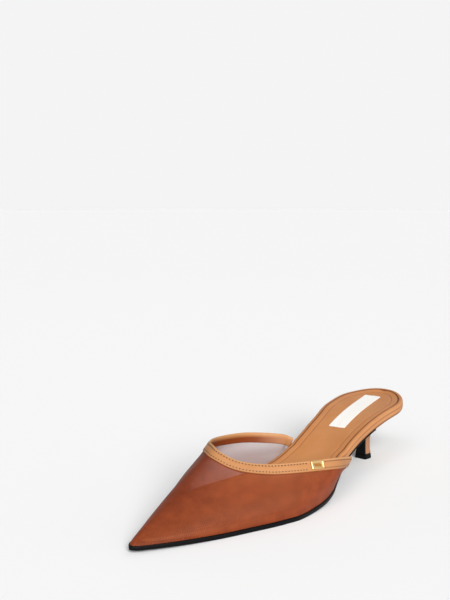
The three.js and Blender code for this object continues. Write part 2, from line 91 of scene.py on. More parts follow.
# height, back, side, front, cup
HEEL_ROWS = [
    (0, 0.01, 0.03, 0.03, 0), (0.11, -0.03, 0, 0, 0), (0.25, -0.035, 0, 0, 0),
    (0.4, 0.02, 0.03, 0.02, 0), (0.51, 0.16, 0.11, 0.07, 0.05), (0.61, 0.35, 0.25, 0.22, 0.2),
    (0.68, 0.52, 0.43, 0.5, 0.5), (0.73, 0.63, 0.57, 0.82, 0.85), (0.76, 0.69, 0.65, 1, 1),
    (0.81, 0.78, 0.78, 1, 1), (0.87, 0.87, 0.9, 1, 1), (1.03, 0.97, 0.98, 1, 1),
]


def put(points):
    return (np.asarray(points, float) - ORIGIN) / 1000


def lerp(a, b, t):
    return a + (b - a) * t


def smoothstep(x, low, high):
    t = np.clip((np.asarray(x, float) - low) / (high - low), 0, 1)
    return t * t * (3 - 2 * t)


def monotone(places, values):
    """Monotone cubic through the rows of a table, so that level stretches stay level."""
    p, v = np.array(places, float), np.array(values, float)
    step = np.diff(p)
    slope = np.diff(v) / step
    tangent = np.concatenate([slope[:1], np.zeros(len(v) - 2), slope[-1:]])
    for i in range(1, len(v) - 1):
        if slope[i - 1] * slope[i] > 0:
            before, after = 2 * step[i] + step[i - 1], step[i] + 2 * step[i - 1]
            tangent[i] = (before + after) / (before / slope[i - 1] + after / slope[i])

    def read(x):
        x = np.clip(np.asarray(x, float), p[0], p[-1])
        i = np.clip(np.searchsorted(p, x, side="right") - 1, 0, len(step) - 1)
        t = (x - p[i]) / step[i]
        return (v[i] + (v[i + 1] - v[i]) * t * t * (3 - 2 * t)
                + step[i] * (tangent[i] * t * (1 - t) ** 2 - tangent[i + 1] * t * t * (1 - t)))
    return read


def column(rows, k, scale=1.0, places=None):
    places = [row[0] * SHOE_LENGTH for row in rows] if places is None else places
    return monotone(places, [row[k] * scale for row in rows])


edge_lateral = monotone([r[0] * SHOE_LENGTH for r in OUTLINE], [r[1] * r[3] for r in OUTLINE])
edge_medial = monotone([r[0] * SHOE_LENGTH for r in OUTLINE], [r[2] * r[3] for r in OUTLINE])
rise, kick = column(PROFILE, 1, SEAT_RISE), column(PROFILE, 2, TOE_SPRING)
sole_depth, board_depth = column(PROFILE, 3, SOLE_THICKNESS), column(PROFILE, 4, BOARD_THICKNESS)


def ground_lift(x):
    return rise(x) + kick(x)


def feather_height(x):
    return ground_lift(x) + sole_depth(x)


def round_share(distance, radius):
    return np.sqrt(1 - np.clip(1 - distance / radius, 0, 1) ** 2)


def outline_side(x, share, inset=0.0):
    toe = SHOE_LENGTH - inset / math.sin(TOE_HALF_ANGLE)
    lateral, medial = edge_lateral(x), edge_medial(x)
    roundness = round_share(x - inset, SEAT_ROUND) * round_share(toe - x, TOE_ROUND)
    half = np.maximum((lateral - medial) / 2 - inset, 0.05) * roundness
    return (lateral + medial) / 2 + share * half


UPPER_START = TOPLINE[0][0] * SHOE_LENGTH
UPPER_INSET = STRAP_LEAF + UPPER_WALL + 3 * CLEARANCE
INSET_RUN = 7.5


def board_inset(x):
    return (UPPER_INSET * smoothstep(x, UPPER_START, UPPER_START + INSET_RUN)
            + BOARD_TOE_INSET * smoothstep(x, SHOE_LENGTH - 52, SHOE_LENGTH))


def board_bottom(x):
    return feather_height(x) + CLEARANCE


def board_top(x):
    return feather_height(x) + board_depth(x)


def sock_top(x, share):
    return board_top(x) - SEAT_DISH * (1 - share * share)


def mesh_object(name, points, faces, material, slot, replaces=None, sharp=40, uv=None, values=()):
    """A piece on the root body. uv and values hold one entry for each point."""
    mesh = bpy.data.meshes.new(name)
    mesh.from_pydata(put(points).tolist(), [], [tuple(map(int, face)) for face in faces])
    for label, data in values:
        mesh.attributes.new(label, "FLOAT", "POINT").data.foreach_set(
            "value", np.asarray(data, np.float32).ravel())
    if uv is not None:
        layer = mesh.uv_layers.new(name="Layout")
        corners = np.empty(len(mesh.loops), np.int32)
        mesh.loops.foreach_get("vertex_index", corners)
        layer.data.foreach_set("uv", np.asarray(uv, np.float32)[corners].ravel())
    mesh.validate()
    piece = bpy.data.objects.new(name, mesh)
    bpy.context.scene.collection.objects.link(piece)
    shape = bmesh.new()
    shape.from_mesh(mesh)
    bmesh.ops.remove_doubles(shape, verts=shape.verts, dist=1e-7)
    bmesh.ops.recalc_face_normals(shape, faces=shape.faces)
    shape.to_mesh(mesh)
    shape.free()
    mesh.shade_smooth()
    mesh.set_sharp_from_angle(angle=math.radians(sharp))
    mesh.materials.append(material)
    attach(piece, "root")
    if replaces:
        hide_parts(replaces)
    return piece


def grid_faces(rows, columns, wrap=False):
    """Quads between neighbouring rows of points, where wrap joins the last column to the first."""
    faces = []
    for i in range(rows - 1):
        for j in range(columns if wrap else columns - 1):
            k = (j + 1) % columns
            faces.append((i * columns + j, i * columns + k,
                          (i + 1) * columns + k, (i + 1) * columns + j))
    return faces


def rings_object(rings, name, material, slot, **more):
    """A closed body through closed rings, with one flat face at each end."""
    count = len(rings[0])
    last = (len(rings) - 1) * count
    faces = grid_faces(len(rings), count, wrap=True)
    faces += [tuple(range(count)), tuple(range(last, last + count))]
    return mesh_object(name, np.concatenate(rings), faces, material, slot, **more)


# Plates: rings that run round the outline from the toe, along one side and back along the other

def even_stations(count):
    """Shares of the length from 0 to 1, closer together at both ends."""
    t = np.linspace(0, 1, count)
    return lerp(t, (1 - np.cos(np.pi * t)) / 2, 0.8)


STATIONS = even_stations(150)


def outline_ring(inset, share, height):
    """One ring at an inset that depends on x, and at a share of the half width there."""
    back = float(inset(0))
    toe = SHOE_LENGTH - float(inset(SHOE_LENGTH)) / math.sin(TOE_HALF_ANGLE)
    x = lerp(back, toe, STATIONS)
    side = [np.stack([x, outline_side(x, s * share, inset(x)), height(x, share)], -1)
            for s in (1, -1)]
    return np.concatenate([side[0][::-1], side[1][1:]])


def plate(rings):
    """Closed body through rings, whose first and last ones lie on the middle line."""
    points = np.concatenate(rings)
    return points, grid_faces(len(rings), len(rings[0]))


def closing_shares(count):
    """Shares of the half width from 0 up to, and without, the whole of it."""
    return [k / count for k in range(count)]


def offset_share(x, d, base):
    """Share of the half width, at the base inset, of a point d further in."""
    middle = outline_side(x, 0, base)
    wide = np.maximum(outline_side(x, 1, base) - middle, 0.05)
    return np.clip((outline_side(x, 1, base + d) - middle) / wide, 0, 1)


def build_footbed(material):
    def ring(d, height, share=1.0):
        return outline_ring(lambda x: board_inset(x) + d, share, height)
    floor_height = lambda x, share: np.maximum(
        sock_top(x, share) - SOCK_THICKNESS - 0.25, board_bottom(x) + 0.1)
    # Each ring has an amount of painted shade, from 0 on open leather to 1 at the bottom of a
    # crease or groove
    rings = [ring(0.5, lambda x, s: board_bottom(x), share) for share in closing_shares(4)]
    crease_shades = [0.0] * len(rings)
    # The rounded bottom edge gets painted shade
    for a in np.linspace(0, np.pi / 2, 4):
        rings.append(ring(0.5 - 0.5 * math.sin(a),
                          lambda x, s, a=a: board_bottom(x) + 0.5 * (1 - math.cos(a))))
        crease_shades.append(0.7)
    edge = lambda x: np.minimum(1.2, (board_top(x) - board_bottom(x)) * 0.4)
    # Side wall, with a crease below the rim's bead; painted shade near its foot and in the crease
    for t, d, crease_shade in ((0.1, -0.04, 0.5), (0.22, -0.12, 0), (0.45, -0.17, 0), (0.62, -0.13, 0.1),
                       (0.69, -0.04, 0.4), (0.74, 0.05, 0.8), (0.79, -0.04, 0.4), (0.86, -0.1, 0)):
        rings.append(ring(d, lambda x, s, t=t: lerp(
            board_bottom(x) + 0.5, board_top(x) - edge(x), t)))
        crease_shades.append(crease_shade)
    for a in np.linspace(0, np.pi / 2, 8):
        rings.append(ring(1.2 * (1 - math.cos(a)),
                          lambda x, s, a=a: board_top(x) - edge(x) * (1 - math.sin(a))))
        crease_shades.append(0.0)
    # Rim, and the groove between it and the sock, with painted shade in the groove and on the floor
    # under the sock
    for d, drop, crease_shade in ((1.6, -0.03, 0), (2.0, -0.02, 0.2), (2.3, 0.04, 0.7),
                          (2.5, 0.16, 1), (2.62, 0.4, 1), (2.66, 0.8, 1)):
        rings.append(ring(d, lambda x, s, drop=drop: board_top(x) - drop))
        crease_shades.append(crease_shade)
    rings += [ring(2.66, floor_height, share) for share in (1, 0.7, 0.35, 0)]
    crease_shades += [1.0] * 4
    points, faces = plate(rings)
    return mesh_object("footbed_board", points, faces, material, "tan_leather", "footbed", 50,
                       values=[("crease_shade", np.repeat(crease_shades, len(points) // len(crease_shades)))])


EMBOSS_INSET = 4


def build_sock(material):
    base = lambda x: board_inset(x) + SOCK_INSET
    def ring(d, drop, share=1.0):
        def height(x, s):
            spread = offset_share(x, d, base(x)) if share == 1 else share * offset_share(
                x, d, base(x))
            return sock_top(x, spread) - drop
        return outline_ring(lambda x: base(x) + d, share, height)
    rings = [ring(0.1, SOCK_THICKNESS, share) for share in closing_shares(4)]
    rings.append(ring(0.1, SOCK_THICKNESS))
    crease_shades = [0.0] * len(rings)
    # Painted shade on the sock's rounded edge, darkest at its foot
    for a in np.linspace(0, np.pi / 2, 5):
        rings.append(ring(0.4 * (1 - math.cos(a)) - 0.05, 0.4 * (1 - math.sin(a))))
        crease_shades.append(lerp(1, 0.2, a / np.pi * 2))
    for d in (0.8, 1.5, 2.2):
        rings.append(ring(d, 0))
        crease_shades.append(0.0)
    # Embossed line along the edge, with painted shade in its groove
    for d in np.linspace(2.6, 5.4, 15):
        groove = math.exp(-((d - EMBOSS_INSET) / 0.5) ** 2)
        rings.append(ring(d, 0.3 * groove))
        crease_shades.append(0.4 * groove)
    rings += [ring(7.4, 0)] + [ring(7.4, 0, share) for share in (0.85, 0.7, 0.5, 0.25, 0)]
    crease_shades += [0.0] * 6
    points, faces = plate(rings)
    return mesh_object("sock_lining", points, faces, material, "sock_leather", "sock", 50,
                       values=[("crease_shade", np.repeat(crease_shades, len(points) // len(crease_shades)))])


# Heel: every level lies between the shaft's section and the seat's outline

heel_height = np.array([r[0] for r in HEEL_ROWS])
heel_back, heel_side, heel_front, heel_cup = (
    column(HEEL_ROWS, k, places=heel_height) for k in (1, 2, 3, 4))


def heel_level(height):
    return TOP_PIECE + height * (float(feather_height(0)) - TOP_PIECE)


def breast_points(height, grow, count=25):
    front, cup = float(heel_front(height)), float(heel_cup(height))
    share = np.sin(np.linspace(np.pi / 2, -np.pi / 2, count))
    x = lerp(TIP_BACK + TIP_DEPTH, BREAST_LINE, front) + grow - BREAST_CUP * cup * (1 - share ** 2)
    y = lerp(TIP_WIDTH / 2 * 0.86 * share, outline_side(BREAST_LINE, share), front)
    z = np.full(count, heel_level(height) - grow * front)
    return np.stack([x, y, z], -1)


def heel_loop(height, grow=0.0, spread=None):
    """One level of the heel. spread is how far its back, sides and front are towards the seat."""
    back, side, front = spread if spread is not None else (
        float(heel_back(height)), float(heel_side(height)), float(heel_front(height)))
    t = np.linspace(-np.pi / 2, np.pi / 2, 61)
    sine = np.sin(t)
    arc = 1 - np.sqrt(np.maximum(1 - sine ** 2, 0))
    seat_x = SEAT_ROUND * arc
    seat_y = outline_side(seat_x, np.sign(sine))
    x = lerp(TIP_BACK + TIP_DEPTH / 2 * arc, seat_x, back) - grow * np.cos(t)
    y = lerp(TIP_WIDTH / 2 * sine, seat_y, side) + grow * sine
    ring = np.stack([x, y, np.full(len(t), heel_level(height))], -1)
    breast = breast_points(height, grow)

    def flank(a, b, sign):
        f = np.linspace(0, 1, 9)[1:-1]
        px = lerp(a[0], b[0], f)
        shaft = sign * TIP_WIDTH / 2 * (1 - 0.14 * f ** 2.2)
        py = lerp(shaft, outline_side(np.minimum(px, BREAST_LINE), sign), lerp(side, front, f))
        return np.stack([px, py + grow * sign, np.full(len(f), a[2])], -1)
    return np.concatenate([ring, flank(ring[-1], breast[0], 1), breast,
                           flank(breast[-1], ring[0], -1)])


def loft(loops):
    """Closed body through loops, each end closed by strips between the points across."""
    count = len(loops[0])
    faces = grid_faces(len(loops), count, wrap=True)
    top = (len(loops) - 1) * count
    for j in range(count // 2):
        k = count - 1 - j
        if j + 1 < k - 1:
            faces.append((j, k, k - 1, j + 1))
            faces.append((top + j, top + j + 1, top + k - 1, top + k))
        elif j + 1 == k - 1:
            faces.append((j, k, j + 1))
            faces.append((top + j, top + j + 1, top + k))
    return np.concatenate(loops), faces


def build_heel(material):
    heights = np.concatenate([np.linspace(0, 0.6, 22)[:-1], np.linspace(0.6, 0.9, 34)[:-1],
                              np.linspace(0.9, 1.03, 14)])
    loops = [heel_loop(h) for h in heights]
    points, faces = loft(loops)
    points[:, 2] = np.minimum(points[:, 2], feather_height(np.maximum(points[:, 0], 0)) - 0.04)
    return mesh_object("heel_cover", points, faces, material, "heel_leather", "heel", 32)


def build_top_piece(material):
    loops = []
    for z, grow in ((0, TIP_FLARE - 0.3), (0.1, TIP_FLARE - 0.08), (0.35, TIP_FLARE),
                    (2, TIP_FLARE - TIP_TAPER / 2), (TOP_PIECE - CLEARANCE - 0.25,
                                                     TIP_FLARE - TIP_TAPER),
                    (TOP_PIECE - CLEARANCE, TIP_FLARE - TIP_TAPER - 0.25)):
        loop = heel_loop(0, grow, (0, 0, 0))
        loop[:, 2] = z
        loops.append(loop)
    points, faces = loft(loops)
    return mesh_object("heel_tip", points, faces, material, "heel_rubber", "top_piece", 35)


SOLE_ROUND, FLAP_COLUMNS = 0.45, 33


def build_outsole(material):
    start = BREAST_LINE + CLEARANCE
    t = np.linspace(0, 1, 190)
    stations = lerp(t, 1 - (1 - t) ** 2, 0.75)

    def ring(d, height, share=1.0):
        inset = lambda x: d - SOLE_EDGE * smoothstep(x, UPPER_START, UPPER_START + 38)
        toe = SHOE_LENGTH - float(inset(SHOE_LENGTH)) / math.sin(TOE_HALF_ANGLE)
        base = lerp(start, toe, stations)
        bow = BREAST_CUP * (1 - smoothstep(base, BREAST_LINE, BREAST_LINE + 45)) * (1 - share ** 2)
        x = base - bow
        side = [np.stack([x, outline_side(x, s * share, inset(x)), height(x)], -1)
                for s in (1, -1)]
        return np.concatenate([side[0], side[1][::-1][1:]])

    def rounded(a, level, side):
        lift = lambda x: SOLE_ROUND * np.minimum(sole_depth(x) / 2, 1) * (1 - math.cos(a))
        return ring(SOLE_ROUND * (1 - math.sin(a)), lambda x: level(x) + side * lift(x))
    edges = np.linspace(0, np.pi / 2, 5)
    bottom = [ring(SOLE_ROUND, ground_lift, share) for share in (0, 0.3, 0.6, 0.85)]
    bottom += [rounded(a, ground_lift, 1) for a in edges]
    top = [rounded(a, feather_height, -1) for a in edges[::-1]]
    top += [ring(SOLE_ROUND, feather_height, share) for share in (0.85, 0.6, 0.3, 0)]
    points, faces = plate(bottom + top)
    # Close the breast end, between each ring below and the one at its height above
    count, last = len(bottom[0]), len(bottom + top) - 1
    for k in range(last // 2 + 1):
        a, b = k, last - k
        if a + 1 <= b - 1 or a + 1 == b:
            for j in (0, count - 1):
                quad = [a * count + j, (a + 1) * count + j, (b - 1) * count + j, b * count + j]
                faces.append(tuple(dict.fromkeys(quad)))
    faces = [face for face in faces if len(face) > 2]

    # The strip of the same sheet that is turned down over the front of the heel
    heights = np.concatenate([np.linspace(0, 0.55, 14)[:-1], np.linspace(0.55, 1.03, 40)])

    def leaf(grow):
        rows = [breast_points(h, grow, FLAP_COLUMNS) for h in heights]
        for row in rows:
            row[:, 2] = np.minimum(row[:, 2], feather_height(np.maximum(row[:, 0], 0)) - 0.1)
        return np.array(rows)
    outer, inner = leaf(CLEARANCE + FLAP_LEAF), leaf(0.05)
    n, last_row = len(heights) * FLAP_COLUMNS, (len(heights) - 1) * FLAP_COLUMNS
    flap_points = np.concatenate([outer.reshape(-1, 3), inner.reshape(-1, 3)])
    flap = grid_faces(len(heights), FLAP_COLUMNS)
    flap += [tuple(k + n for k in face[::-1]) for face in flap]
    border = (list(range(FLAP_COLUMNS))
              + list(range(2 * FLAP_COLUMNS - 1, n, FLAP_COLUMNS))
              + list(range(n - 2, last_row - 1, -1))
              + list(range(last_row - FLAP_COLUMNS, 0, -FLAP_COLUMNS)))
    for a, b in zip(border, border[1:] + border[:1]):
        flap.append((a, b, b + n, a + n))
    base = len(points)
    points = np.concatenate([points, flap_points])
    faces += [tuple(k + base for k in face) for face in flap]
    return mesh_object("sole", points, faces, material, "black_sole", "outsole", 35)


# Vamp: place runs over the topline's rows, and down from 0 at the top edge through 1 at the
# strap's lower edge to 2 at the feather line

topline_points = np.array([[r[0] * SHOE_LENGTH, r[1] * BALL_WIDTH, r[2] * THROAT_HEIGHT]
                           for r in TOPLINE])
rows_at = np.arange(len(TOPLINE))
roll_at = column(TOPLINE, 3, math.pi / 180, rows_at)
belly_at, lift_at = column(TOPLINE, 5, VAMP_BELLY, rows_at), column(TOPLINE, 6, 1, rows_at)
land_outer = column(TOPLINE[:THROAT_ROW + 1], 4, SHOE_LENGTH, rows_at[:THROAT_ROW + 1])
land_inner = column(TOPLINE[THROAT_ROW:], 4, SHOE_LENGTH, rows_at[THROAT_ROW:])


def topline(place):
    """A smooth curve through the topline's rows."""
    p = topline_points
    e = np.vstack([2 * p[0] - p[1], p, 2 * p[-1] - p[-2]])
    place = np.clip(place, 0, LAST_ROW)
    i = np.minimum(place.astype(int), LAST_ROW - 1)
    w = (place - i)[..., None]
    a, b = (e[i + 2] - e[i]) / 2, (e[i + 3] - e[i + 1]) / 2
    p1, p2 = e[i + 1], e[i + 2]
    return ((2 * p1 - 2 * p2 + a + b) * w ** 3 + (3 * p2 - 3 * p1 - 2 * a - b) * w ** 2
            + a * w + p1)


def feather_point(place):
    """Where the vamp at a place comes down to the sole."""
    outer = place <= THROAT_ROW
    x = np.where(outer, land_outer(np.minimum(place, THROAT_ROW)),
                 land_inner(np.maximum(place, THROAT_ROW)))
    return np.stack([x, outline_side(x, np.where(outer, 1.0, -1.0)), feather_height(x)], -1)


def unit(v):
    return v / np.maximum(np.linalg.norm(v, axis=-1, keepdims=True), 1e-9)


def strap_direction(place):
    """Down the strap's face, square to its edge and rolled outwards by the table."""
    along = unit(topline(place + 1e-3) - topline(place - 1e-3))
    down = np.array([0, 0, -1.0])
    fall = unit(down - along * along[..., 2:] * -1)
    outward = np.cross(along, fall)
    roll = roll_at(place)[..., None]
    return fall * np.cos(roll) + outward * np.sin(roll)


def outward_at_feather(place):
    along = (feather_point(np.minimum(place + 0.02, LAST_ROW))
             - feather_point(np.maximum(place - 0.02, 0)))
    along[..., 2] = 0
    along = unit(along)
    out = np.stack([-along[..., 1], along[..., 0], 0 * along[..., 0]], -1)
    at_throat = np.abs(place - THROAT_ROW) < 0.02
    return np.where(at_throat[..., None], np.array([1.0, 0, 0]), out)


def vamp_point(place, down):
    """The strap's straight band, and below it one curve down to the feather line."""
    place, down = np.broadcast_arrays(np.asarray(place, float), np.asarray(down, float))
    fall = strap_direction(place)
    edge = topline(place)
    band = edge + fall * (STRAP_WIDTH * np.clip(down, None, 1))[..., None]
    start = edge + fall * STRAP_WIDTH
    end = feather_point(place)
    reach = np.linalg.norm(end - start, axis=-1, keepdims=True) * 0.35
    first = start + fall * reach
    second = end + outward_at_feather(place) * belly_at(place)[..., None]
    second[..., 2] += np.maximum(start[..., 2] - end[..., 2], 0) * lift_at(place)
    t = np.clip(down - 1, 0, 1)[..., None]
    curve = ((1 - t) ** 3 * start + 3 * (1 - t) ** 2 * t * first
             + 3 * (1 - t) * t * t * second + t ** 3 * end)
    return np.where((down <= 1)[..., None], band, curve)


def vamp_normal(place, down):
    step = 0.01
    a = vamp_point(np.maximum(place - step, 0), down)
    b = vamp_point(np.minimum(place + step, LAST_ROW), down)
    c = vamp_point(place, np.maximum(down - step, 0))
    d = vamp_point(place, np.minimum(down + step, 2))
    return unit(np.cross(b - a, d - c))


def vamp_skin(place, down, offset):
    """A point at an offset outwards from the vamp's surface."""
    place, down, offset = np.broadcast_arrays(
        np.asarray(place, float), np.asarray(down, float), np.asarray(offset, float))
    return vamp_point(place, down) + vamp_normal(place, down) * offset[..., None]


def down_to_feather(places, top):
    """How far down each place goes before it meets the sole's feather line."""
    downs = np.linspace(0, 2, 201)
    grid = vamp_point(places[:, None], downs[None, :])
    above = grid[..., 2] - feather_height(grid[..., 0]) - 0.15
    ends = np.full(len(places), top)
    for i, line in enumerate(above):
        low = np.nonzero(line < 0)[0]
        if len(low):
            k = low[0]
            t = line[k - 1] / (line[k - 1] - line[k]) if k else 0
            ends[i] = min(top, max(lerp(downs[max(k - 1, 0)], downs[k], t), 0.06))
    return ends


# The mesh leaf lies this far in from the strap's face
MESH_BACK, MESH_COLUMNS = -0.7, 60


def build_vamp(material):
    places = np.concatenate([np.linspace(0.1, 4.5, 130)[:-1], np.linspace(4.5, 7.5, 140)[:-1],
                             np.linspace(7.5, 11.9, 130)])
    ends = down_to_feather(places, 2.0)
    share = np.linspace(0, 1, MESH_COLUMNS)
    down = 0.25 + (np.maximum(ends, 0.3)[:, None] - 0.25) * share[None, :]
    face = MESH_BACK * (1 - smoothstep(down, 1.5, 2) / 2)
    outer = vamp_skin(places[:, None], down, face)
    flat = outer.reshape(-1, 3)
    across = np.cumsum(np.linalg.norm(np.diff(outer, axis=1, prepend=outer[:, :1]), axis=-1), 1)
    middle = outer[:, MESH_COLUMNS // 3]
    along = np.cumsum(np.linalg.norm(np.diff(middle, axis=0, prepend=middle[:1]), axis=-1))
    uv = np.stack([np.broadcast_to(along[:, None], across.shape), across], -1).reshape(-1, 2)
    faces = grid_faces(len(places), MESH_COLUMNS)
    # Sheerest on the inner side behind the throat; painted shade on the top plane and at the rear
    # end
    open_side = smoothstep(places, THROAT_ROW + 0.6, THROAT_ROW + 1.6)[:, None]
    ahead = smoothstep(outer[..., 0], topline_points[THROAT_ROW, 0] - 14,
                       topline_points[THROAT_ROW, 0] + 4)
    dense = 1 - open_side * (1 - ahead)
    rear = 1 - smoothstep(places, 0.6, 2.2)[:, None]
    front = smoothstep(places, 5, 6.2)[:, None] * (1 - smoothstep(down, 1.3, 1.9))
    mesh_shade = np.maximum(rear, front)
    return mesh_object("mesh_vamp", flat, faces, material, "rust_mesh", "upper", 80, uv / 1000,
                       [("dense", dense), ("mesh_shade", mesh_shade)])


# The stitch rows' distances from the strap's two edges
ROW_FROM_FOLD, ROW_FROM_CUT, STITCH_PITCH = 1.55, 1.45, 2.0


def strap_section(width):
    """Points (distance down, offset out, kind) round the folded band, where kind is 1 at the
    folded edge, -1 at the cut edges and 0 on the faces."""
    turn, thick = 1.0, 1.7
    face = [(width, -0.45, -1), (width - 0.02, -0.12, -1), (width - 0.18, 0, -0.6)]
    for a in np.linspace(width - 0.45, turn + 0.3, 26):
        pull = sum(0.08 * math.exp(-((a - row) / 0.42) ** 2)
                   for row in (ROW_FROM_FOLD, width - ROW_FROM_CUT))
        crown = 0.12 * math.sin(math.pi * (a - turn) / (width - turn))
        face.append((a, crown - 0.12 - pull * min(1, width / STRAP_WIDTH), 0))
    for t in np.linspace(0, math.pi, 15):
        face.append((turn * (1 - math.sin(t)), -0.12 - (thick / 2 - 0.12) * (1 - math.cos(t)), 1))
    for a in np.linspace(turn + 0.4, width - 0.3, 12):
        face.append((a, -thick, 0))
    face += [(width - 0.02, -thick + 0.12, -1), (width, -thick + 0.45, -1),
             (width - 1.2, -thick + 0.5, -1), (width - 1.2, -0.5, -1)]
    return np.array(face)


def build_strap(material):
    places = np.linspace(0, LAST_ROW, 420)
    ends = down_to_feather(places, 1.0)
    line = topline(places)
    along = np.cumsum(np.linalg.norm(np.diff(line, axis=0, prepend=line[:1]), axis=-1))
    rows, uv, kind = [], [], []
    for place, end, s in zip(places, ends, along):
        width = max(STRAP_WIDTH * end, 2.4)
        section = strap_section(width)
        squeeze = STRAP_WIDTH * end / width
        rows.append(vamp_skin(place, section[:, 0] * squeeze / STRAP_WIDTH, section[:, 1]))
        uv.append(np.stack([np.full(len(section), s), section[:, 0]], -1))
        kind.append(section[:, 2])
    # The section's last points lie on the lining, which gets painted shade below the fold
    lining_shade = np.array([0.0] * 45 + [0.1, 0.35, 0.7] + [1.0] * 12)
    return rings_object(rows, "strap", material, "strap_leather", replaces="topline_strap",
                        sharp=55, uv=np.concatenate(uv) / 1000, values=[
                            ("edge", np.concatenate(kind)), ("lining_shade", np.tile(lining_shade, len(rows)))])


def along_table(down):
    """Places along the strap, and their distances from its start."""
    places = np.linspace(0, LAST_ROW, 2400)
    line = vamp_point(places, np.full(len(places), down))
    length = np.cumsum(np.linalg.norm(np.diff(line, axis=0, prepend=line[:1]), axis=-1))
    return places, length


def capsules(centres, along, outward, half, radius, flat=1.0, sides=6):
    """Short rounded threads. half is half the length, and flat squeezes them outwards."""
    across = unit(np.cross(outward, along))
    outward = unit(np.cross(along, across))
    points, faces = [], []
    rings = [(-1.0, 0.35), (-0.8, 0.85), (-0.3, 1.0), (0.3, 1.0), (0.8, 0.85), (1.0, 0.35)]
    angle = np.arange(sides) * 2 * math.pi / sides
    for n in range(len(centres)):
        base = n * len(rings) * sides
        for t, r in rings:
            ring = (centres[n] + along[n] * half * t
                    + across[n] * radius * r * np.cos(angle)[:, None]
                    + outward[n] * radius * r * flat * np.sin(angle)[:, None])
            points.append(ring)
        faces += [tuple(k + base for k in face) for face in grid_faces(len(rings), sides, True)]
        faces.append(tuple(base + k for k in range(sides)))
        faces.append(tuple(base + (len(rings) - 1) * sides + k for k in range(sides)))
    return np.concatenate(points), faces


# The keeper's middle and reach along the strap, in rows of the topline, and its share down
KEEPER_PLACE, KEEPER_REACH, KEEPER_DOWN, KEEPER_HALF_WIDTH = 2.56, 0.155, 0.48, 2.5


def build_stitches(thread, hole_shade):
    thread_parts, hole_shade_parts = [], []
    for distance in (ROW_FROM_FOLD, STRAP_WIDTH - ROW_FROM_CUT):
        down = distance / STRAP_WIDTH
        places, length = along_table(down)
        stops = np.arange(6, length[-1] - 6, STITCH_PITCH)
        at = np.interp(stops, length, places)
        keep = np.abs(at - KEEPER_PLACE) > KEEPER_REACH + 0.03
        point = vamp_point(at, np.full(len(at), down))
        keep &= point[:, 2] > feather_height(point[:, 0]) + 3
        at = at[keep]
        downs = np.full(len(at), down)
        along = unit(vamp_point(at + 0.01, downs) - vamp_point(at - 0.01, downs))
        outward = vamp_normal(at, downs)
        centre = vamp_skin(at, downs, -0.17)
        thread_parts.append(capsules(centre, along, outward, 0.5, 0.16, 0.8))
        # Dark flat marks between the stitches: painted shade standing in for the holes
        between = centre + along * (STITCH_PITCH / 2) - outward * 0.01
        hole_shade_parts.append(capsules(between, along, outward, 0.48, 0.5, 0.36))
    for name, parts, material in (("strap_stitches", thread_parts, thread),
                                  ("stitch_hole_shades", hole_shade_parts, hole_shade)):
        points = np.concatenate([p for p, _ in parts])
        faces, base = [], 0
        for p, f in parts:
            faces += [tuple(k + base for k in face) for face in f]
            base += len(p)
        mesh_object(name, points, faces, material, "strap_leather", sharp=70)


def rounded_rectangle(half_x, half_y, radius, per_corner=8):
    points = []
    for cx, cy, start in ((1, 1, 0), (-1, 1, 90), (-1, -1, 180), (1, -1, 270)):
        for a in np.radians(start + np.linspace(0, 90, per_corner)):
            points.append((cx * (half_x - radius) + radius * math.cos(a),
                           cy * (half_y - radius) + radius * math.sin(a)))
    return np.array(points)


def build_keeper(gold, field):
    places, length = along_table(KEEPER_DOWN)
    reach = np.interp(KEEPER_PLACE + KEEPER_REACH, places, length) - np.interp(
        KEEPER_PLACE, places, length)

    def ring(inset, height):
        shape = rounded_rectangle(reach - inset, KEEPER_HALF_WIDTH - inset, max(0.7 - inset, 0.15))
        place = KEEPER_PLACE + shape[:, 0] / reach * KEEPER_REACH
        return vamp_skin(place, KEEPER_DOWN + shape[:, 1] / STRAP_WIDTH, height)
    rim = [(0.1, 0.0), (0, 0.15), (0, 0.75), (0.08, 0.98), (0.25, 1.1), (0.5, 1.13), (0.7, 1.08),
           (0.84, 0.92), (0.88, 0.72)]
    rings_object([ring(i, h) for i, h in rim], "keeper_rim", gold, "gold", sharp=35,
                 replaces="keeper")
    plate_rings = [(0.86, 0.3), (0.86, 0.62), (0.95, 0.66), (1.4, 0.68), (1.9, 0.68)]
    rings_object([ring(i, h) for i, h in plate_rings], "keeper_field", field, "gold", sharp=35)


LABEL_X, LABEL_Y = 44.5, 0.3
LABEL_HALF_LENGTH, LABEL_HALF_WIDTH, LABEL_TURN = 29, 6, math.radians(6)


def build_label(material):
    dense = []
    shape = rounded_rectangle(LABEL_HALF_LENGTH, LABEL_HALF_WIDTH, 0.35)
    for a, b in zip(shape, np.roll(shape, -1, 0)):
        steps = max(1, int(np.linalg.norm(b - a) / 1.2))
        dense += [lerp(a, b, k / steps) for k in range(steps)]
    dense = np.array(dense)
    x = LABEL_X + dense[:, 0] * math.cos(LABEL_TURN) - dense[:, 1] * math.sin(LABEL_TURN)
    edge_y = LABEL_Y + dense[:, 0] * math.sin(LABEL_TURN) + dense[:, 1] * math.cos(LABEL_TURN)
    axis_y = LABEL_Y + (x - LABEL_X) * math.tan(LABEL_TURN)
    middle = outline_side(x, 0, SOCK_INSET)
    half = outline_side(x, 1, SOCK_INSET) - middle
    loops = []
    for share, height in ((1, 0.02), (1, 0.26), (0.995, 0.33), (0.8, 0.34), (0.5, 0.34),
                          (0.2, 0.34), (0.02, 0.34)):
        y = axis_y + (edge_y - axis_y) * share
        loops.append(np.stack([x, y, sock_top(x, (y - middle) / half) + height], -1))
    rings_object(loops, "blank_label", material, "white_label", replaces="label", sharp=35)


# Materials

def srgb(r, g, b):
    def channel(c):
        c /= 255
        return c / 12.92 if c <= 0.04045 else ((c + 0.055) / 1.055) ** 2.4
    return (channel(r), channel(g), channel(b), 1)


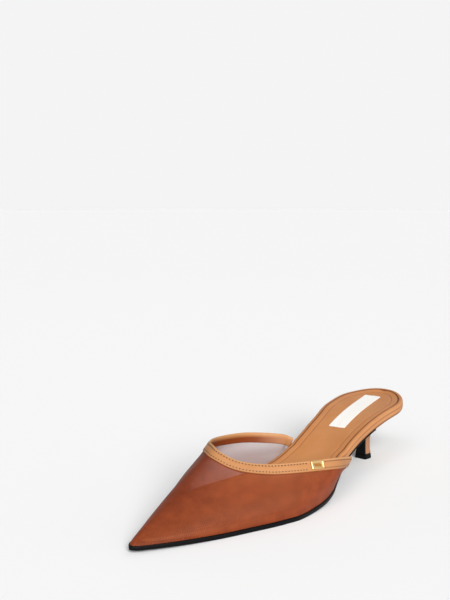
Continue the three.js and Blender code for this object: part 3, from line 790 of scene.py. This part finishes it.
class Nodes:
    """A small helper that adds nodes and links to one material."""

    def __init__(self, name):
        self.material = bpy.data.materials.new(name)
        self.material.use_nodes = True
        self.tree = self.material.node_tree
        self.shader = self.tree.nodes["Principled BSDF"]

    def add(self, kind, inputs=(), **settings):
        node = self.tree.nodes.new(kind)
        for key, value in settings.items():
            setattr(node, key, value)
        for key, value in dict(inputs).items():
            if isinstance(value, bpy.types.NodeSocket):
                self.tree.links.new(value, node.inputs[key])
            else:
                node.inputs[key].default_value = value
        return node

    def set(self, **values):
        for key, value in values.items():
            socket = self.shader.inputs[key.replace("_", " ")]
            if isinstance(value, bpy.types.NodeSocket):
                self.tree.links.new(value, socket)
            else:
                socket.default_value = value

    def math(self, operation, *values):
        node = self.add("ShaderNodeMath", operation=operation)
        for k, value in enumerate(values):
            if isinstance(value, bpy.types.NodeSocket):
                self.tree.links.new(value, node.inputs[k])
            else:
                node.inputs[k].default_value = value
        return node.outputs[0]

    def noise(self, scale, detail=3.0, rough=0.5, vector=None, distortion=0.0):
        inputs = {"Scale": scale, "Detail": detail, "Roughness": rough, "Distortion": distortion}
        if vector is not None:
            inputs["Vector"] = vector
        return self.add("ShaderNodeTexNoise", inputs).outputs["Fac"]

    def remap(self, value, low, high, to_low, to_high):
        return self.add("ShaderNodeMapRange", {
            "Value": value, "From Min": low, "From Max": high, "To Min": to_low,
            "To Max": to_high}).outputs[0]

    def mix(self, factor, a, b, blend="MIX"):
        node = self.add("ShaderNodeMix", data_type="RGBA", blend_type=blend)
        for key, value in ((0, factor), (6, a), (7, b)):
            if isinstance(value, bpy.types.NodeSocket):
                self.tree.links.new(value, node.inputs[key])
            else:
                node.inputs[key].default_value = value
        return node.outputs[2]

    def coordinates(self, output="Object"):
        return self.add("ShaderNodeTexCoord").outputs[output]

    def attribute(self, name):
        return self.add("ShaderNodeAttribute", attribute_name=name).outputs["Fac"]

    def bump(self, height, strength, distance):
        node = self.add("ShaderNodeBump", {"Height": height, "Strength": strength,
                                           "Distance": distance})
        return node.outputs["Normal"]


def shade_creases(n, colour):
    """Paints shade into the bottoms of the creases and grooves, where the attribute it reads marks
    them.
    """
    # Painted shade: the crease colour multiplied darker
    shade = n.mix(1.0, colour, srgb(172, 146, 126), "MULTIPLY")
    return n.mix(n.attribute("crease_shade"), colour, shade)


def leather(name, light, dark, roughness=0.48, grain=0.35, extra=None):
    """Smooth calf leather: fine pores, faint creasing and a slow change of colour."""
    n = Nodes(name)
    where = n.coordinates()
    slow = n.noise(45, 3, 0.55, where)
    fine = n.noise(900, 4, 0.6, where)
    cells = n.add("ShaderNodeTexVoronoi", {"Vector": where, "Scale": 1500.0, "Randomness": 1.0},
                  feature="F1").outputs["Distance"]
    colour = n.mix(n.remap(slow, 0.35, 0.68, 0, 1), light, dark)
    colour = n.mix(n.remap(fine, 0.3, 0.7, 0.0, 0.16), colour, dark)
    if extra:
        colour = extra(n, colour)
    height = n.math("ADD", n.math("MULTIPLY", cells, 0.6), n.math("MULTIPLY", fine, 0.7))
    n.set(Base_Color=colour, Roughness=n.remap(fine, 0.3, 0.7, roughness - 0.05, roughness + 0.08),
          Normal=n.bump(height, grain, 0.0002), Specular_IOR_Level=0.3)
    return n.material


# The throat's place along the shoe, in the row's metres
THROAT_X = (TOPLINE[THROAT_ROW][0] * SHOE_LENGTH - ORIGIN[0]) / 1000


def strap_material():
    def edges(n, colour):
        edge = n.attribute("edge")
        # Painted highlight along the folded top edge; the cut edges are darker
        fold = n.remap(edge, 0.0, 1.0, 0, 0.45)
        cut = n.remap(edge, -1.0, 0.0, 0.55, 0)
        colour = n.mix(fold, colour, srgb(182, 136, 90))
        colour = n.mix(cut, colour, srgb(119, 74, 40))
        # Painted shade on the lining, deepest towards the throat
        along = n.add("ShaderNodeSeparateXYZ", {0: n.coordinates()}).outputs[0]
        shaded = n.remap(along, THROAT_X - 0.09, THROAT_X - 0.07, 0.1, 1)
        return n.mix(n.math("MULTIPLY", n.attribute("lining_shade"), shaded), colour, srgb(112, 49, 11))
    return leather("strap_leather", srgb(165, 115, 72), srgb(156, 105, 62), 0.55, 0.3, edges)


WEAVE_PITCH = 0.00052


def mesh_material():
    """Sheer woven nylon: threads cross in a fine grid, and less light gets through at a slant."""
    n = Nodes("rust_mesh")
    where = n.coordinates()
    layout = n.add("ShaderNodeUVMap", uv_map="Layout").outputs[0]
    split = n.add("ShaderNodeSeparateXYZ", {0: layout})
    threads = []
    for axis in (0, 1):
        wave = n.math("PINGPONG", split.outputs[axis], WEAVE_PITCH / 2)
        threads.append(n.remap(wave, WEAVE_PITCH * 0.12, WEAVE_PITCH * 0.3, 1, 0))
    weave = n.math("MAXIMUM", threads[0], threads[1])
    slow = n.noise(130, 4, 0.6, where)
    facing = n.add("ShaderNodeLayerWeight", {"Blend": 0.5}).outputs["Facing"]
    slant = n.math("MAXIMUM", n.math("SUBTRACT", 1.0, facing), 0.12)
    # The more a ray slants, the more threads it has to pass
    dense = n.math("MULTIPLY", n.attribute("dense"), 0.32)
    clear = n.math("SUBTRACT", n.remap(weave, 0, 1, 0.76, 0.58), dense)
    through = n.math("POWER", clear, n.math("DIVIDE", 1.0, n.math("POWER", slant, 1.8)))
    streak = n.noise(220, 2, 0.5, n.add("ShaderNodeMapping", {
        "Vector": where, "Scale": (0.25, 0.25, 1.0)}).outputs[0])
    colour = n.mix(n.remap(slow, 0.35, 0.65, 0, 1), srgb(126, 56, 26), srgb(109, 46, 20))
    colour = n.mix(n.remap(streak, 0.3, 0.7, 0, 0.2), colour, srgb(136, 65, 36))
    # Painted shade on the top plane and the rear end
    colour = n.mix(n.attribute("mesh_shade"), colour,
                   n.mix(1.0, colour, srgb(226, 216, 216), "MULTIPLY"))
    n.set(Base_Color=colour, Roughness=0.62, Alpha=n.math("SUBTRACT", 1.0, through),
          Sheen_Weight=0.06, Sheen_Roughness=0.4, Sheen_Tint=srgb(181, 141, 130),
          Specular_IOR_Level=0.15, Normal=n.bump(weave, 0.15, 0.0001))
    return n.material


def sole_material():
    n = Nodes("black_sole")
    where = n.coordinates()
    fine = n.noise(700, 4, 0.6, where)
    slow = n.noise(60, 2, 0.5, where)
    colour = n.mix(n.remap(slow, 0.3, 0.7, 0, 1), srgb(9, 9, 10), srgb(6, 6, 7))
    n.set(Base_Color=colour, Roughness=n.remap(fine, 0.3, 0.7, 0.36, 0.5),
          Specular_IOR_Level=0.1, Normal=n.bump(fine, 0.15, 0.0001))
    return n.material


def rubber_material():
    n = Nodes("heel_rubber")
    fine = n.noise(1200, 3, 0.6, n.coordinates())
    colour = n.mix(fine, srgb(5, 5, 6), srgb(8, 8, 9))
    n.set(Base_Color=colour, Roughness=n.remap(fine, 0.3, 0.7, 0.45, 0.6),
          Specular_IOR_Level=0.1, Normal=n.bump(fine, 0.2, 0.0001))
    return n.material


def metal_material(name, colour, roughness):
    n = Nodes(name)
    fine = n.noise(1500, 2, 0.5, n.coordinates())
    n.set(Base_Color=n.mix(n.remap(fine, 0.3, 0.7, 0, 0.2), colour, srgb(214, 170, 108)),
          Metallic=1.0, Roughness=n.remap(fine, 0.3, 0.7, roughness, roughness + 0.08))
    return n.material


def label_material():
    n = Nodes("white_label")
    where = n.coordinates()
    weave = n.add("ShaderNodeTexWave", {"Vector": where, "Scale": 900.0, "Distortion": 0.4},
                  bands_direction="Y").outputs["Fac"]
    colour = n.mix(n.remap(weave, 0, 1, 0, 0.4), srgb(220, 217, 212), srgb(213, 210, 204))
    n.set(Base_Color=colour, Roughness=0.55, Normal=n.bump(weave, 0.1, 0.0001),
          Specular_IOR_Level=0.35, Sheen_Weight=0.1)
    return n.material


def thread_material(name, colour, roughness):
    n = Nodes(name)
    fine = n.noise(4000, 2, 0.5, n.coordinates())
    n.set(Base_Color=n.mix(n.remap(fine, 0.3, 0.7, 0, 0.15), colour, srgb(96, 60, 33)),
          Roughness=roughness, Normal=n.bump(fine, 0.3, 0.00005))
    return n.material


build_footbed(leather("footbed_leather", srgb(170, 118, 74), srgb(163, 108, 65), 0.55, 0.35,
                      shade_creases))
build_sock(leather("sock_leather", srgb(176, 120, 74), srgb(168, 110, 64), 0.5, 0.3, shade_creases))
build_heel(leather("heel_leather", srgb(150, 108, 76), srgb(142, 98, 67), 0.55, 0.3))
build_top_piece(rubber_material())
build_outsole(sole_material())
build_vamp(mesh_material())
build_strap(strap_material())
# The second material, for the stitch holes, is painted shade
build_stitches(thread_material("strap_thread", srgb(172, 121, 76), 0.6),
               thread_material("painted_stitch_shade", srgb(58, 28, 12), 0.9))
build_keeper(metal_material("keeper_gold", srgb(238, 204, 146), 0.36),
             metal_material("keeper_satin", srgb(176, 118, 62), 0.5))
build_label(label_material())


# Floor, light and camera

def build_stage():
    radii, around = [0.3, 0.6, 1, 2, 4, 9], 64
    points, faces = [(0, 0, 0)], []
    for r in radii:
        points += [(r * math.cos(a), r * math.sin(a), 0)
                   for a in np.linspace(0, 2 * math.pi, around, endpoint=False)]
    faces += [(0, 1 + j, 1 + (j + 1) % around) for j in range(around)]
    for i in range(len(radii) - 1):
        inner, outer = 1 + i * around, 1 + (i + 1) * around
        for j in range(around):
            k = (j + 1) % around
            faces.append((inner + j, outer + j, outer + k, inner + k))
    mesh = bpy.data.meshes.new("floor")
    mesh.from_pydata(points, [], faces)
    floor = bpy.data.objects.new("floor", mesh)
    bpy.context.scene.collection.objects.link(floor)
    n = Nodes("floor_paper")
    length = n.add("ShaderNodeVectorMath", {0: n.coordinates()}, operation="LENGTH")
    # Painted pool of light: the floor is a touch lighter near the shoe than far off
    far = n.remap(length.outputs["Value"], 0.25, 1.6, 0, 1)
    n.set(Base_Color=n.mix(far, (0.745, 0.745, 0.745, 1), (0.735, 0.735, 0.735, 1)), Roughness=1.0,
          Specular_IOR_Level=0.0)
    mesh.materials.append(n.material)


def sun(name, towards, strength, spread=34):
    """A soft lamp that shines from a direction. spread is in degrees."""
    light = bpy.data.lights.new(name, "SUN")
    light.angle, light.energy = math.radians(spread), strength
    lamp = bpy.data.objects.new(name, light)
    lamp.rotation_mode = "QUATERNION"
    lamp.rotation_quaternion = Vector(towards).to_track_quat("Z", "Y")
    bpy.context.scene.collection.objects.link(lamp)


build_stage()
sun("key", (0.6, 0.9, 0.6), 4.6)
sun("front", (1, 0.33, 1.1), 0.8)
sun("back", (-1, -0.1, 0.8), 0.4)
sun("top", (-0.15, -0.1, 1), 0.15)

# Pale walls behind the floor, and a dim ceiling
world = bpy.data.worlds.new("studio")
world.use_nodes = True
sky = world.node_tree.nodes
split = sky.new("ShaderNodeSeparateXYZ")
rise = sky.new("ShaderNodeMapRange")
for name, value in (("From Min", 0.22), ("From Max", 0.5), ("To Min", 0.905), ("To Max", 0.12)):
    rise.inputs[name].default_value = value
world.node_tree.links.new(sky.new("ShaderNodeTexCoord").outputs["Generated"], split.inputs[0])
world.node_tree.links.new(split.outputs[2], rise.inputs["Value"])
world.node_tree.links.new(rise.outputs[0], sky["Background"].inputs["Color"])
bpy.context.scene.world = world
bpy.context.scene.view_settings.view_transform = "Standard"
bpy.context.scene.view_settings.look = "None"

camera = bpy.data.cameras.new("camera")
FOCAL_PIXELS, PICTURE_PIXELS, SENSOR = 895.7, 600, 36
camera.sensor_width, camera.lens = SENSOR, FOCAL_PIXELS / PICTURE_PIXELS * SENSOR
eye = bpy.data.objects.new("camera", camera)
eye.location = (0.4494, 0.330181, 0.1919)
eye.rotation_mode = "QUATERNION"
eye.rotation_quaternion = Vector((-0.7607, -0.6378, -0.1207)).to_track_quat("-Z", "Y")
bpy.context.scene.collection.objects.link(eye)
bpy.context.scene.camera = eye
